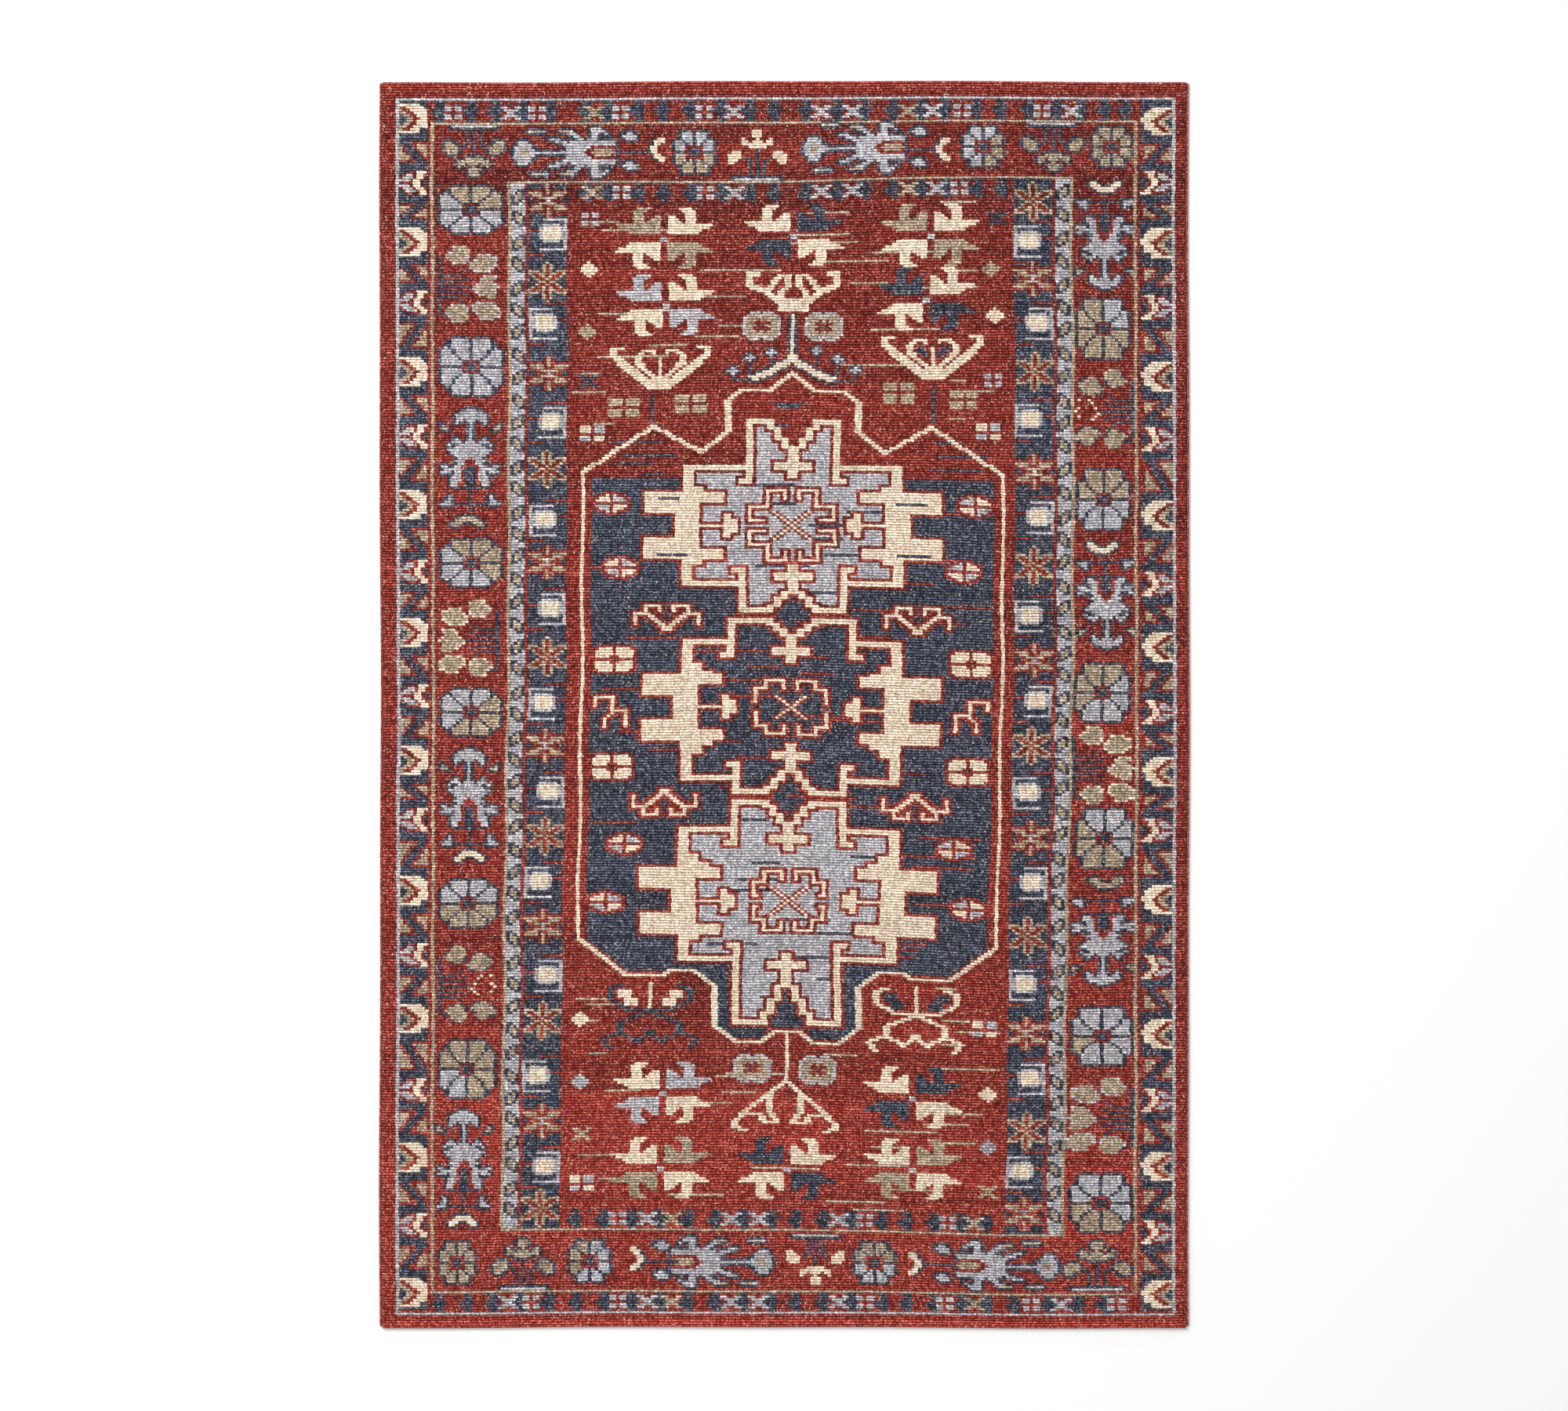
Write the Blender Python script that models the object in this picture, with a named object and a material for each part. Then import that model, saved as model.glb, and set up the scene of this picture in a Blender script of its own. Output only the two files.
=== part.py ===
"""A hand-knotted wool rug lying flat, in metres, +Z up.

The rug is about 1.55 m wide (X) and 2.385 m long (Y). Its origin is at the middle of its underside.
It is one knotted sheet with an overcast selvedge cord along each long side. Both ends are plain, with no fringe.
"""

import math

import bmesh
import bpy
from mathutils import Vector

# Overall size
RUG_WIDTH = 1.550
RUG_LENGTH = 2.385

# The knotted sheet: weave and pile together
SHEET_THICKNESS = 0.0095
RIM_ROUNDING = 0.0022
RIM_SEGMENTS = 2
CELLS_ACROSS = 18
CELLS_ALONG = 28
CORNER_ROUNDING = 0.006
CORNER_SEGMENTS = 3

# The selvedge cords
CORD_WIDTH = 0.0050
CORD_HEIGHT = 0.0064
CORD_SIDES = 12
CORD_SECTIONS = 56
CORD_END_INSET = 0.0045
CORD_END_TAPER = 0.006
CORD_TIP_SHARE = 0.62
SEAT_GAP = 0.0003

# How far hand weaving strays from straight lines
SIDE_WANDER = 0.0012
END_WANDER = 0.0015
PILE_WANDER = 0.00035

# Wool colours, linear RGB
BRICK_RED = (0.23, 0.036, 0.028)
SALMON_RED = (0.33, 0.075, 0.055)


def remove_all():
    """Empties the scene."""
    for found in list(bpy.data.objects):
        bpy.data.objects.remove(found, do_unlink=True)


def wool(name, colour, roughness):
    """A plain matt wool."""
    material = bpy.data.materials.new(name)
    material.use_nodes = True
    shader = material.node_tree.nodes["Principled BSDF"]
    shader.inputs["Base Color"].default_value = (*colour, 1.0)
    shader.inputs["Roughness"].default_value = roughness
    shader.inputs["Metallic"].default_value = 0.0
    return material


def side_wander(y, side):
    """How far a long side strays outwards at y. side is -1 for the left and 1 for the right."""
    along = y / RUG_LENGTH
    slow = math.sin(2 * math.pi * (1.3 * along + 0.21 * side))
    quick = 0.5 * math.sin(2 * math.pi * (3.7 * along + 0.35 * side))
    return SIDE_WANDER * (slow + quick - 1.0)


def end_wander(x, end):
    """How far an end strays outwards at x. end is -1 for the near end and 1 for the far one."""
    across = x / RUG_WIDTH
    slow = math.sin(2 * math.pi * (0.9 * across + 0.17 * end))
    quick = 0.4 * math.sin(2 * math.pi * (2.9 * across - 0.4 * end))
    return END_WANDER * (slow + quick - 0.9)


def pile_wander(x, y):
    """How far the pile's level strays from flat."""
    wide = math.sin(7.1 * x + 1.3) * math.cos(5.3 * y - 0.7)
    fine = 0.5 * math.sin(13.0 * y + 4.0 * x)
    return PILE_WANDER * (wide + fine)


def sheet_half_width():
    """Half the knotted sheet's width, between the cords."""
    return RUG_WIDTH / 2 - CORD_WIDTH - SEAT_GAP


def outline_point(x, y):
    """Carries a point of a straight rectangle to the woven outline."""
    across, along = x / sheet_half_width(), y / (RUG_LENGTH / 2)
    side = 1 if across > 0 else -1
    end = 1 if along > 0 else -1
    return x + side_wander(y, side) * across, y + end_wander(x, end) * along


def show(mesh_data, name, material):
    """Makes an object of a bmesh, with its outward faces and smooth round stretches."""
    bmesh.ops.recalc_face_normals(mesh_data, faces=mesh_data.faces)
    mesh = bpy.data.meshes.new(name)
    mesh_data.to_mesh(mesh)
    mesh_data.free()
    mesh.shade_smooth()
    mesh.set_sharp_from_angle(angle=math.radians(50))
    mesh.materials.append(material)
    made = bpy.data.objects.new(name, mesh)
    bpy.context.collection.objects.link(made)
    return made


def rug_body(material):
    """The knotted sheet: a flat underside, a rounded upper rim and a slightly uneven pile."""
    sheet = bmesh.new()
    bmesh.ops.create_grid(sheet, x_segments=CELLS_ACROSS, y_segments=CELLS_ALONG, size=0.5)
    for point in sheet.verts:
        point.co.x *= 2 * sheet_half_width()
        point.co.y *= RUG_LENGTH
    raised = bmesh.ops.extrude_face_region(sheet, geom=list(sheet.faces), use_keep_orig=True)
    upper = [item for item in raised["geom"] if isinstance(item, bmesh.types.BMVert)]
    bmesh.ops.translate(sheet, verts=upper, vec=Vector((0, 0, SHEET_THICKNESS)))
    round_edges(sheet, is_corner, CORNER_ROUNDING, CORNER_SEGMENTS)
    round_edges(sheet, is_upper_rim, RIM_ROUNDING, RIM_SEGMENTS)
    for point in sheet.verts:
        share = point.co.z / SHEET_THICKNESS
        point.co.z += share * pile_wander(point.co.x, point.co.y)
        point.co.x, point.co.y = outline_point(point.co.x, point.co.y)
    return show(sheet, "rug_body", material)


def round_edges(sheet, is_wanted, width, segments):
    """Rounds off the edges that is_wanted picks."""
    sheet.normal_update()
    picked = [edge for edge in sheet.edges if is_wanted(edge)]
    bmesh.ops.bevel(sheet, geom=picked, offset=width, segments=segments, profile=0.5, affect="EDGES")


def is_corner(edge):
    """Says if an edge stands upright at one of the sheet's four corners."""
    reach = sheet_half_width() + RUG_LENGTH / 2
    return all(abs(point.co.x) + abs(point.co.y) > reach - CORNER_ROUNDING for point in edge.verts)


def is_upper_rim(edge):
    """Says if an edge runs round the sheet's top: it joins a level face and an upright one."""
    if min(point.co.z for point in edge.verts) < SHEET_THICKNESS / 2:
        return False
    slants = [abs(face.normal.z) for face in edge.link_faces]
    return min(slants) < 0.1 and max(slants) > 0.9


def cord_swell(y, half_length):
    """The share of its full thickness that a cord has at y: it shrinks in a round curve near its tips."""
    past_tip = (half_length - abs(y)) / CORD_END_TAPER
    if past_tip >= 1:
        return 1.0
    return CORD_TIP_SHARE + (1 - CORD_TIP_SHARE) * math.sqrt(1 - (1 - past_tip) ** 2)


def cord_section(y, side, swell):
    """One ring of a cord at y, shrunk by swell about its foot."""
    inner = sheet_half_width() + side_wander(y, side) + SEAT_GAP
    centre_x = inner + CORD_WIDTH / 2
    ring = []
    for step in range(CORD_SIDES):
        turn = 2 * math.pi * (step + 0.5) / CORD_SIDES
        out = math.cos(turn) / math.cos(math.pi / CORD_SIDES)
        up = math.sin(turn) / math.cos(math.pi / CORD_SIDES)
        x = side * (centre_x + out * CORD_WIDTH / 2 * swell)
        ring.append(Vector((x, y, CORD_HEIGHT / 2 * (1 + up) * swell)))
    return ring


def selvedge(name, side, material):
    """An overcast cord along one long side, resting on the floor, its ends rounded off."""
    half_length = RUG_LENGTH / 2 - CORD_END_INSET
    cord = bmesh.new()
    rings = []
    for step in range(CORD_SECTIONS + 1):
        # A cosine brings the sections closer together at the two round ends.
        y = -half_length * math.cos(math.pi * step / CORD_SECTIONS)
        section = cord_section(y, side, cord_swell(y, half_length))
        rings.append([cord.verts.new(point) for point in section])
    for ring, following in zip(rings, rings[1:]):
        for step in range(CORD_SIDES):
            ahead = (step + 1) % CORD_SIDES
            cord.faces.new((ring[step], ring[ahead], following[ahead], following[step]))
    cord.faces.new(rings[0])
    cord.faces.new(rings[-1])
    return show(cord, name, material)


def build():
    """The whole rug."""
    remove_all()
    pile_wool = wool("pile_wool", BRICK_RED, 0.95)
    cord_wool = wool("cord_wool", SALMON_RED, 0.9)
    rug_body(pile_wool)
    selvedge("selvedge_left", -1, cord_wool)
    selvedge("selvedge_right", 1, cord_wool)


build()
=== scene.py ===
import math

import bpy
import numpy as np
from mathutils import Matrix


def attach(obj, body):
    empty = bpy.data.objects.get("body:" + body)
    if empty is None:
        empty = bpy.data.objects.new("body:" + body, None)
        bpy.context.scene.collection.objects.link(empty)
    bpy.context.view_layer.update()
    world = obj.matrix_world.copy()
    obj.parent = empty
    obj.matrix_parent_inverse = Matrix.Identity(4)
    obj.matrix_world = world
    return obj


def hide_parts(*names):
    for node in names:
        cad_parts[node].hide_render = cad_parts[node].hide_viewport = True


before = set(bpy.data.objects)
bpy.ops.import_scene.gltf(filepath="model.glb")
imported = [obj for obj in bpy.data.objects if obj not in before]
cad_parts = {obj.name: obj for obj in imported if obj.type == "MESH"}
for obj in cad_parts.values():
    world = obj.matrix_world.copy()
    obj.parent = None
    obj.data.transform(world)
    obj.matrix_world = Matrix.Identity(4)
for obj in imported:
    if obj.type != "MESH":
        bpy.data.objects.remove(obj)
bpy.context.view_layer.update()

SEED = 41

# The rug's solid, in metres
RUG_WIDTH = 1.550
RUG_LENGTH = 2.385
SHEET_TOP = 0.0095
CORD_WIDTH = 0.0050
CORD_HEIGHT = 0.0064
CORD_END_INSET = 0.0045
SEAT_GAP = 0.0003
SIDE_WANDER = 0.0012
END_WANDER = 0.0015
PILE_WANDER = 0.00035
HALF_SHEET = RUG_WIDTH / 2 - CORD_WIDTH - SEAT_GAP

# The pattern, knot by knot: its columns and rows, the medallion's middle column, and the yarns
COLS = 231
ROWS = 465
AXIS = 117
RED, NAVY, BLUE, CREAM, TAUPE = range(5)
YARNS = {"r": RED, "n": NAVY, "b": BLUE, "c": CREAM, "t": TAUPE}

# The stars: their arms and bodies in knots from the axis, and the steps between two points
STAR_ARM = 42
STAR_BODY = 31
STAIRS = 4

# The first row of the field and of the bands beside it, and the row just past their end
FIELD_TOP = 38
FIELD_END = 428

# What a separately worked part holds where the chart below it shows
BARE = -1

# How far the weaving strays from a straight chart, in knots to the right and in rows downwards
DRIFT_ROWS = (0, 40, 100, 200, 325, 440, 465)
LEFT_COLUMN_DRIFT = (0, 0, 0, -0.5, -1.5, -2, -1.5)
RIGHT_COLUMN_DRIFT = (0, 0.5, 1, 1, -1, -2, -2)
RIGHT_ROW_DRIFT = (0, -2, 0, 2.5, 3, 1.5, 0)

# Shares of the width: columns run straight near both sides, and rows do in the whole left half
STRAIGHT_SIDE = 0.065
COLUMN_EASE = 0.075
ROW_EASE_START = 0.5
ROW_EASE = 0.28

CALYX = """
ccccccnnn
rrcccccnn
trrcccccn
ttrrccccn
nttrrcccc
nnttrrccc
nnttrcccn
nttrrcccn
ttrrccccn
trrcccnnn
ccccccnnn
""".split()

CHEVRON_FLOWER = """
nnrrrcccr
nrbbrccrr
rbbbrccrn
bbbrccrnn
rrrrccrnn
bbbrccrnn
rbbbrccrn
nrbbbrccr
nnrrrrccc
""".split()

SPINDLE = """
.nnn.
..nn.
.nnn.
nnnnn
nnnn.
.nnn.
..nn.
.nnn.
""".split()

FOUR_DOTS = """
bbrbb
bbrbb
rrrrr
bbrbb
bbrbb
""".split()

SMALL_CROSS = """
pp..pp
.pppp.
..pp..
.pppp.
pp..pp
""".split()

CHAIN_LINK = """
..nn
.ntn
nttn
nttn
ntn.
nn..
""".split()

STAR_SOLID = """
....rt
....rt
rrrrrt
ttttrt
rtttrr
nrrttb
nnrrrb
""".split()

STAR_OPEN = """
.....t
....tr
....tr
ttt.tr
trrttr
.trrtr
..trrt
nnnttr
""".split()

BOXED_SQUARE = """
bbbbbbbnnnn
bnnnnnnnnnn
bnbbbbbnnnn
bbcccccbnnn
bbcccccbrrr
bbcccccbnnn
bbcccccbnnn
bbcccccbnnn
bnbbbbbnnnn
bnnnnnnnnnn
bnnnnnnnnnn
bbbbbbbbnnn
""".split()

ROSETTE = """
....nnnnn.
...npppppn
..nnpppppn
.npnpppppn
npppnppppn
nppppnpppn
npppppnppn
nppppppnrr
npppppprnn
.nnnnnnrnn
""".split()

CROSS_ROSETTE = """
..nnnn.
..npppn
..npppn
.nnpppn
nppnppn
npppnpn
nppprrr
nppprnn
.nnnrnn
""".split()

UPRIGHT_PALMETTE = """
........nn
......nnbb
.....nbbbb
....nbbbbb
....nbbbbb
....nbbnbb
nn..nbn.nb
ntn..n..nb
nttn....nb
.nnn....nb
........nb
....nn..nb
....nbn.nb
...nbbbnbb
..nbnnbbbb
...nnbbbbb
..nbbbbbbb
...nbbbbbb
....nbbbbb
.....nbbbr
....nbbbrr
.nn.nnbbrr
nbbnnbbrrn
.nbbbbbrnn
nbbbnbbrnn
.nnnnbbrnn
...nbbbrnn
...nbbbrnn
...nbbrrnn
...nbbrrnn
....nnnnnn
.........n
...n.....n
..nbn....n
..nbn....n
.nbbn....n
nbbbnnnnnn
.nnnn....n
.........n
""".split()

LYING_PALMETTE = """
.......................nnn.....
..............nnnn....nbbbn....
.............ntttbn...nbbbbn...
..............nntbbn..nbbnnbn..
..........nnnn..nnbbn.nbbn.nn..
..nnn.....nbbbnn.nnbbnbbbnnnnn.
.nbbbn.....nnbbbnbbbbbbbbbbbbbn
.nbbbbn......nnbbbbbbbbbbbbbbbn
nbbbbbnn.......nbbbbbbbrrrrrrrn
nbbttbbnnnnnnnnnbbbbbbrrtttttrn
nbbttbbbbbbbbbbbbbbbbrrtttttttn
""".split()

HANGING_FLOWER = """
..nbbbbbbb
..nnnnnnnn
.......n.n
.......n.n
.......n.n
.ooo...n.n
oppoo..n.n
opppo.nn.n
oppppon..n
oppppo...n
.opppo...n
..ooo..oon
.....ooppp
....oppppp
....oppopp
....opo.op
.....o.opp
.......opp
.......opp
........oo
""".split()

ARCH = """
...nnn
..nppp
.npppp
npppnn
nppn..
.nn...
""".split()

LYING_ARCH = """
..npp
.nppp
.npp.
npp..
npp..
""".split()

LEAF = """
.nnnn.
nnbbn.
nbbbbn
.nbbbn
..nnn.
""".split()

OVAL = """
.nnnnn.
nbttbbn
.nnnnn.
""".split()

PETAL_TALL = """
..oppp.
..ppppp
.oppppp
opppppp
ppppppo
.pppppo
..oppo.
""".split()

PETAL_WIDE = """
..oppo..
..ppppoo
.opppppp
oppppppp
pppppppo
opppppo.
.ooppo..
""".split()

PETAL_TIP = """
...oppo
..opppp
..pppp.
.oppppo
pppppppo
opppppp.
.oppppo
..opppp
....ppp
""".split()

BIRD = """
......pppp...
.....pppp....
.....ppp.....
.....ppp...pp
.....ppp..ppp
.....ppp.pppp
ppppppppppppp
.pppppppppppp
...pppppppppp
....ppppppppp
""".split()

FIELD_CALYX = """
cccc...........
cc.......cccc..
cc......cc..c..
ccc....cc......
.ccc...cc.nn..c
..ccc..cc.nnn.c
..cccc.ccc.nn.c
...cccc.cc..n.c
....cccc.cc...c
.....cccc.cc..c
......cccc.cc.c
.......cccc.ccc
........ccccccc
.........cccccc
..........ccccc
...........cccc
""".split()

DOUBLE_ROSETTE = """
..bbb.
.bttbb
bttttt
btttrt
bttrrr
btttrn
""".split()

BUD = """
..n
.nb
nbb
""".split()

QUARTERED_DIAMOND = """
....rr
..rrcr
.rcccr
rccccr
rrrrrr
rbbbbr
.rbbbr
..rrbr
....rr
""".split()

SMALL_DIAMOND = """
..p..
.ppp.
ppppp
ppppp
.ppp.
..p..
""".split()

SQUARE_ROSETTE = """
.ccccr
cccccr
cccccr
ccccrr
rrrrrn
""".split()


def fill(chart, yarn, *blocks):
    """Fills blocks of knots. Each gives its first column and row, then those just past its end."""
    for col, row, end_col, end_row in blocks:
        chart[row:end_row, col:end_col] = yarn


def outline(chart, yarn, col, row, end_col, end_row):
    """Works a line one knot wide along the inside of a block."""
    fill(chart, yarn, (col, row, col + 1, end_row), (end_col - 1, row, end_col, end_row),
         (col, row, end_col, row + 1), (col, end_row - 1, end_col, end_row))


def lay_over(chart, part, col, row):
    """Lays a separately worked part over the chart, with its top left knot at col, row."""
    window = chart[row:row + part.shape[0], col:col + part.shape[1]]
    window[part != BARE] = part[part != BARE]


def stamp(chart, motif, col, row, yarns=YARNS, mirror=False, flip=False):
    """Works a motif with its top left knot at col, row. Letters that yarns doesn't name are left out."""
    for down, line in enumerate(motif[::-1] if flip else motif):
        for across, letter in enumerate(line[::-1] if mirror else line):
            if letter in yarns and row + down < ROWS and col + across < COLS:
                chart[row + down, col + across] = yarns[letter]


def drift(col, row):
    """How far the weaving has strayed at places on the chart: to the right and downwards."""
    across = col / COLS
    left = np.interp(row, DRIFT_ROWS, LEFT_COLUMN_DRIFT)
    right = np.interp(row, DRIFT_ROWS, RIGHT_COLUMN_DRIFT)
    sag = np.interp(row, DRIFT_ROWS, RIGHT_ROW_DRIFT)
    inside = np.clip((np.minimum(across, 1 - across) - STRAIGHT_SIDE) / COLUMN_EASE, 0, 1)
    towards_right = np.clip((across - ROW_EASE_START) / ROW_EASE, 0, 1)
    return inside * (left + (right - left) * across), sag * towards_right


def seen_at(col, row):
    """The place on the chart of a knot that shows at col, row of the finished rug."""
    aside, down = drift(col, row)
    return int(round(col - aside)), int(round(row - down))


def unfold(half):
    """A whole motif from its left half, whose last column is the middle one."""
    return [line + line[-2::-1] for line in half]


def unfold_down(upper):
    """A whole motif from its upper half, whose last row is the middle one."""
    return upper + upper[-2::-1]


def with_petals(*letters):
    """The yarns of a motif whose letters p and o stand for its own colours."""
    return {**YARNS, **{name: YARNS[letter] for name, letter in zip("po", letters)}}


def thread(chart, yarn, points, width=1, height=1):
    """Works a line through points, in steps of whole knots."""
    for (col, row), (end_col, end_row) in zip(points, points[1:]):
        steps = int(max(abs(end_col - col), abs(end_row - row), 1))
        for step in range(steps + 1):
            at_col = round(col + (end_col - col) * step / steps)
            at_row = round(row + (end_row - row) * step / steps)
            chart[at_row:at_row + height, at_col:at_col + width] = yarn


def pair(chart, axis, yarn, points, width=1, height=1):
    """Works a line and its mirror image about the column axis."""
    thread(chart, yarn, points, width, height)
    thread(chart, yarn, [(2 * axis - col - width + 1, row) for col, row in points], width, height)


def rosette(chart, quarter, col, row, petals):
    """A rosette of eight petals about a red ring. petals runs clockwise from the upper right one.

    A quarter has an upright petal and a lying one, which a navy line parts from the middle column.
    """
    motif = unfold_down(unfold(quarter))
    middle_row, middle_col = len(motif) // 2, len(motif[0]) // 2
    col, row = seen_at(col, row)
    for down, line in enumerate(motif):
        for across, letter in enumerate(line):
            if letter == "p":
                inwards = line[min(across, middle_col) + 1:max(across, middle_col)]
                lying = inwards.strip("p") != ""
                order = int(lying) if down < middle_row else 3 - int(lying)
                letter = petals[order if across > middle_col else -1 - order]
            if letter in YARNS:
                chart[row + down, col + across] = YARNS[letter]


def slant(height, width):
    """A navy bar slanting down between two taupe triangles, edged with red."""
    navy_reach, red_reach = 1.3, 2.4
    lines = []
    for step in range(height):
        middle = 1 + (width - 4) * step / (height - 1)
        aside = [abs(across - middle) for across in range(width - 1)]
        line = "".join("n" if away < navy_reach else "r" if away < red_reach else "t" for away in aside)
        if step in (0, height - 1):
            line = line.replace("t", "r")
        lines.append(line + "r")
    return lines


def side_band(chart, col, calyxes, flowers, mirror):
    """The narrow band near one long side: calyxes and flowers by turns, with slanting bars between."""
    width = len(CALYX[0])
    gap, shortest_bar = 3, 6
    fill(chart, NAVY, (col, 7, col + width, ROWS - 7))
    turns = sorted([(row, CALYX) for row in calyxes] + [(row, CHEVRON_FLOWER) for row in flowers])
    turns = [(seen_at(col, row)[1], motif) for row, motif in turns]
    for (row, motif), (following, _) in zip(turns, turns[1:] + [(ROWS - 5, None)]):
        stamp(chart, motif, col, row, mirror=mirror)
        start, end = row + len(motif) + gap, following - gap
        if end - start >= shortest_bar:
            stamp(chart, slant(end - start, width), col, start, mirror=mirror, flip=motif is not CALYX)


def end_band(chart, row, height, spindles, dots, crosses, dull_crosses):
    """The narrow band along one end: spindles, strewn knots, dotted squares and small crosses on red."""
    for col in spindles:
        stamp(chart, SPINDLE[:height], seen_at(col, row)[0] - 1, row)
    for col in range(16, COLS - 16, 5):
        if chart[row + 1, col] == RED:
            chart[row + (col // 5) % 3, col] = NAVY
    kinds = ((dots, FOUR_DOTS, "b"), (crosses, SMALL_CROSS, "b"), (dull_crosses, SMALL_CROSS, "t"))
    for cols, motif, letter in kinds:
        for col in cols:
            stamp(chart, motif, seen_at(col, row)[0], row + height // 2 - 2, with_petals(letter))


def inner_side_band(chart, col, turned, plain, solid_stars, open_stars):
    """The navy band beside the field: cream squares in open boxes and small stars by turns."""
    width, height = len(BOXED_SQUARE[0]), len(BOXED_SQUARE)
    fill(chart, NAVY, (col, FIELD_TOP, col + width, FIELD_END))
    for rows, mirror in ((turned, True), (plain, False)):
        for row in rows:
            row = seen_at(col, row)[1]
            stamp(chart, BOXED_SQUARE, col, row, mirror=mirror)
            fill(chart, RED, (col, row + height + 1, col + 5, row + height + 2),
                 (col + 5, row - 2, col + width, row - 1))
    for rows, star in ((solid_stars, STAR_SOLID), (open_stars, STAR_OPEN)):
        for row in rows:
            stamp(chart, unfold_down(unfold(star)), col, seen_at(col, row)[1])


def chain_guard(chart, col):
    """The light guard of small links between the main border and the inner band."""
    pitch, margin = 8.4, 2
    fill(chart, BLUE, (col, FIELD_TOP, col + len(CHAIN_LINK[0]), FIELD_END))
    for link in range(int((FIELD_END - FIELD_TOP - margin) / pitch) + 1):
        row = FIELD_TOP + margin + round(link * pitch)
        if row + len(CHAIN_LINK) <= FIELD_END:
            stamp(chart, CHAIN_LINK, col, row, mirror=link % 2 == 1)


def spray(chart, col, row, petals, rims, mirror):
    """Five petals on stems that fan out from an upright bar."""
    row = seen_at(col, row)[1]
    middle = 15
    part = np.full((30, 18), BARE)
    fill(part, NAVY, (0, 4, 1, 26), (1, 26, 3, 27))
    for rise, reach in ((9, 7), (12, 8), (middle, 11), (18, 8), (21, 7)):
        level = rise + (middle - rise) // 3
        thread(part, NAVY, [(1, level), (5, level), (reach, rise)])
    shapes = ((PETAL_TALL, 2, 0), (PETAL_WIDE, 9, 3), (PETAL_TIP, 10, 11),
              (PETAL_TALL, 2, 22), (PETAL_WIDE, 10, 21))
    for (shape, across, down), petal, rim in zip(shapes, petals, rims):
        stamp(part, shape, across, down, with_petals(petal, rim), flip=down > middle)
    lay_over(chart, part[:, ::-1] if mirror else part, col, row)


def side_stretches(chart):
    """What fills the main border along the two long sides. Palmettes and arches hang on the right."""
    tall = ROSETTE[:3] + ROSETTE[2:5] + ROSETTE[4:]
    slim = [line[:2] + line[3:] for line in tall]
    for quarter, col, row, petals in (
            (ROSETTE, 16, 38, "ttbbbbbt"), (ROSETTE, 16, 170, "tttbbbbt"), (ROSETTE, 16, 226, "bttttbbb"),
            (ROSETTE, 16, 297, "bbttttbb"), (tall, 16, 95, "bbbbbbbb"), (tall, 16, 357, "ttttbbtt"),
            (slim, 199, 80, "bbtttttt"), (slim, 199, 144, "ttbbbbtt"), (slim, 199, 217, "tbbbbttt"),
            (slim, 199, 271, "bbbttttb"), (slim, 198, 345, "bbbbbtbb"), (slim, 197, 407, "bbbtttbb")):
        rosette(chart, quarter, col, row, petals)
    for col, row in ((16, 121), (16, 248), (15, 383)):
        stamp(chart, unfold(UPRIGHT_PALMETTE), *seen_at(col, row))
    left_out = (4, 27, 29, 34, 38)
    short = [line for number, line in enumerate(UPRIGHT_PALMETTE) if number not in left_out]
    for row in (43, 178, 304):
        stamp(chart, unfold(short), 198, seen_at(198, row)[1], flip=True)
    for col, row, letter in ((19, 161, "t"), (20, 286, "c"), (19, 422, "c"),
                             (202, 36, "c"), (202, 171, "c"), (202, 296, "t")):
        stamp(chart, unfold(ARCH), *seen_at(col, row), with_petals(letter), flip=col > AXIS)
    spray(chart, 16, 61, "ttttt", "bbbbb", False)
    spray(chart, 16, 193, "ttttt", "ccccc", True)
    spray(chart, 16, 322, "ttrtt", "nncnn", False)
    spray(chart, 198, 107, "ttrtt", "nncnn", True)
    spray(chart, 198, 241, "ttttt", "ccccc", False)
    spray(chart, 198, 371, "ttttt", "bbbbb", True)


def end_stretches(chart):
    """What fills the main border along the two ends."""
    flower, lying, bracket = unfold(HANGING_FLOWER), unfold_down(LYING_PALMETTE), unfold_down(LYING_ARCH)
    for col, row, flip, yarns in ((17, 16, False, "tn"), (98, 17, True, "cr"), (183, 15, False, "tn"),
                                  (31, 431, True, "tn"), (115, 430, False, "cr"), (195, 432, True, "tn")):
        stamp(chart, flower, *seen_at(col, row), with_petals(*yarns), flip=flip)
    for col, row, petals in ((83, 18, "bbttttbb"), (166, 16, "btttbbbb"), (203, 16, "tttttttt"),
                             (16, 432, "tttttttt"), (53, 432, "bbbbbttt"), (135, 432, "ttbbbbtt")):
        rosette(chart, CROSS_ROSETTE, col, row, petals)
    for col, row, mirror in ((37, 16, False), (120, 15, False), (82, 430, True), (164, 431, True)):
        stamp(chart, lying, *seen_at(col, row), mirror=mirror)
    for col, row, mirror in ((76, 21, False), (158, 21, False), (71, 435, True), (151, 437, True)):
        stamp(chart, bracket, *seen_at(col, row), with_petals("c"), mirror=mirror)
    for col, row, length in ((68, 26, 9), (151, 25, 7), (75, 440, 10), (156, 441, 9)):
        col, row = seen_at(col, row)
        fill(chart, NAVY, (col, row, col + length, row + 1))
    leaves = ((68, 18), (68, 29), (151, 17), (151, 28), (77, 432), (77, 443), (158, 433), (158, 444))
    ovals = ((41, 17), (42, 33), (125, 15), (123, 32), (104, 431), (102, 447), (183, 432), (184, 448))
    for motif, places in ((LEAF, leaves), (OVAL, ovals)):
        for col, row in places:
            stamp(chart, motif, *seen_at(col, row))


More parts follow.
